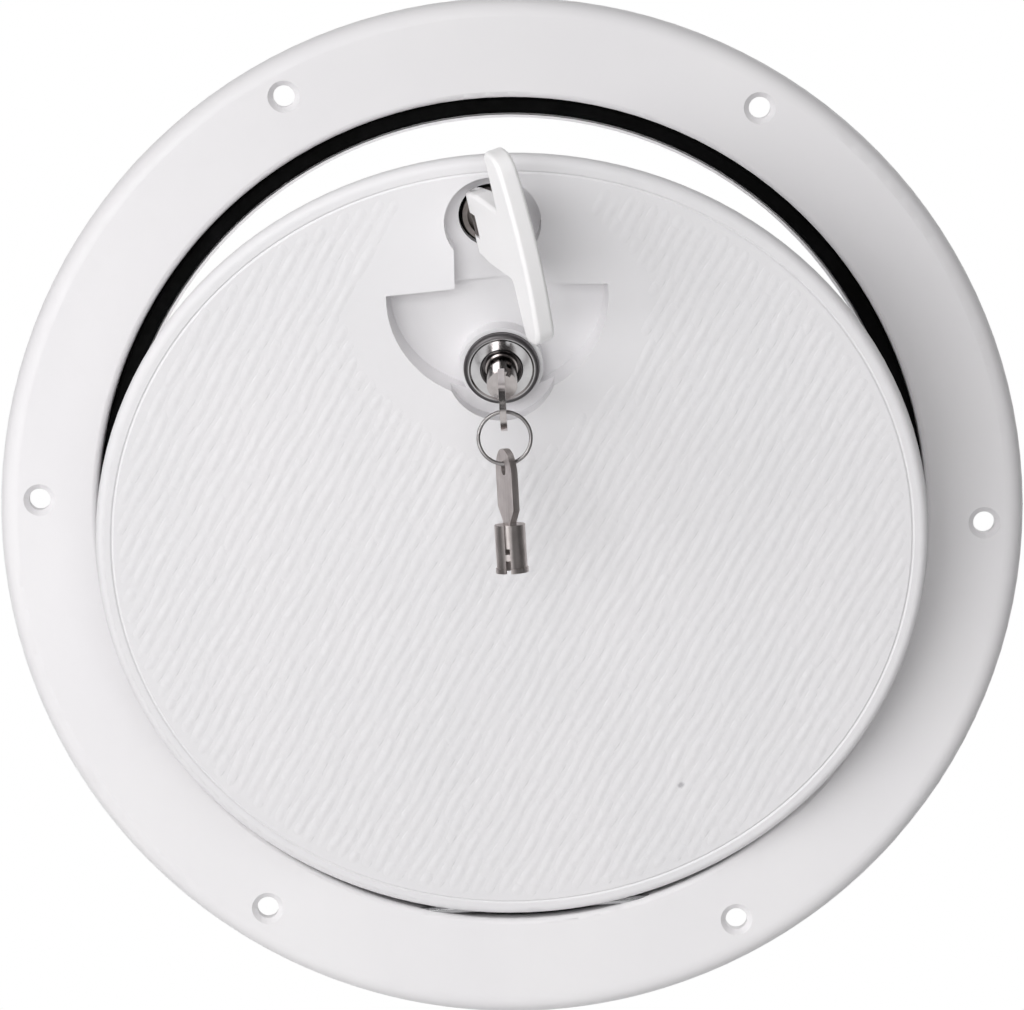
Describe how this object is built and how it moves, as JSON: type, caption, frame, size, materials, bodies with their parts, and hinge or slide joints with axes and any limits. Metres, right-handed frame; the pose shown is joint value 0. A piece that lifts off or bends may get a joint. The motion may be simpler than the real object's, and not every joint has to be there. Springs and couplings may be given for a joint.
{
  "type": "deck inspection plate",
  "caption": "Round deck inspection plate: flange ring with collar and seal, hinged ribbed lid, folding T-shaped turn handle in a recess, and a tubular key lock with keys on a ring.",
  "frame": {"origin": "centre of the screw circle, in the plane of the flange's deck face", "axes": "+Z runs from the hinge to the latch, up when the plate stands on a bulkhead; -Y points out of the deck toward the user; +X to the user's right"},
  "size_m": [0.26, 0.1146, 0.26],
  "materials": {
    "ring_plastic": "satin white moulded plastic",
    "lid_plastic": "satin white moulded plastic with a fine ribbed face",
    "handle_plastic": "glossy white moulded plastic",
    "seal_rubber": "matt black",
    "steel": "plain stainless",
    "rotor_metal": "dull",
    "lock_chrome": "plated, slightly brushed",
    "key_chrome": "plated"
  },
  "bodies": {
    "ring": {"deck_ring": "ring_plastic", "ring_gasket": "seal_rubber", "hinge_pin_left": "steel", "hinge_pin_right": "steel"},
    "lid": {"lid": "lid_plastic", "lock_body": "lock_chrome", "lock_gasket": "seal_rubber", "lock_nut": "lock_chrome"},
    "rotor": {"handle_rotor": "rotor_metal", "rotor_o_ring": "seal_rubber", "rotor_spring_washer": "steel", "latch_arm": "steel", "latch_washer": "steel", "latch_screw": "steel"},
    "handle": {"handle": "handle_plastic", "handle_pin": "steel"},
    "plug": {"lock_plug": "lock_chrome", "lock_cam": "steel", "lock_cam_washer": "steel", "lock_cam_screw": "steel"},
    "key": {"key": "key_chrome"},
    "key_ring": {"key_ring": "key_chrome"},
    "spare_key": {"spare_key": "key_chrome"}
  },
  "joints": [
    {"name": "lid_hinge", "type": "hinge", "parent": "ring", "child": "lid", "pos_m": [0, -0.0031, -0.102], "axis": [1, 0, 0], "range_deg": [-16.8, 62]},
    {"name": "handle_turn", "type": "hinge", "parent": "lid", "child": "rotor", "pos_m": [0, -0.05432, 0.07975], "axis": [0, -0.9573, -0.289], "range_deg": [-99, 16]},
    {"name": "handle_fold", "type": "hinge", "parent": "rotor", "child": "handle", "pos_m": [-0.00247, -0.05698, 0.07854], "axis": [0.1564, 0.2855, -0.9455], "range_deg": [-34, 22]},
    {"name": "key_turn", "type": "hinge", "parent": "lid", "child": "plug", "pos_m": [0, -0.04822, 0.04086], "axis": [0, -0.9573, -0.289], "range_deg": [-90, 0]},
    {"name": "key_slide", "type": "slide", "parent": "plug", "child": "key", "axis": [0, -0.9573, -0.289], "range_m": [0, 0.008]},
    {"name": "key_ring_swing", "type": "hinge", "parent": "key", "child": "key_ring", "pos_m": [0, -0.07095, 0.03304], "axis": [-1, 0, 0], "range_deg": [-25, 60]},
    {"name": "spare_key_swing", "type": "hinge", "parent": "key_ring", "child": "spare_key", "pos_m": [0, -0.07095, 0.02024], "axis": [-1, 0, 0], "range_deg": [-25, 40]}
  ]
}
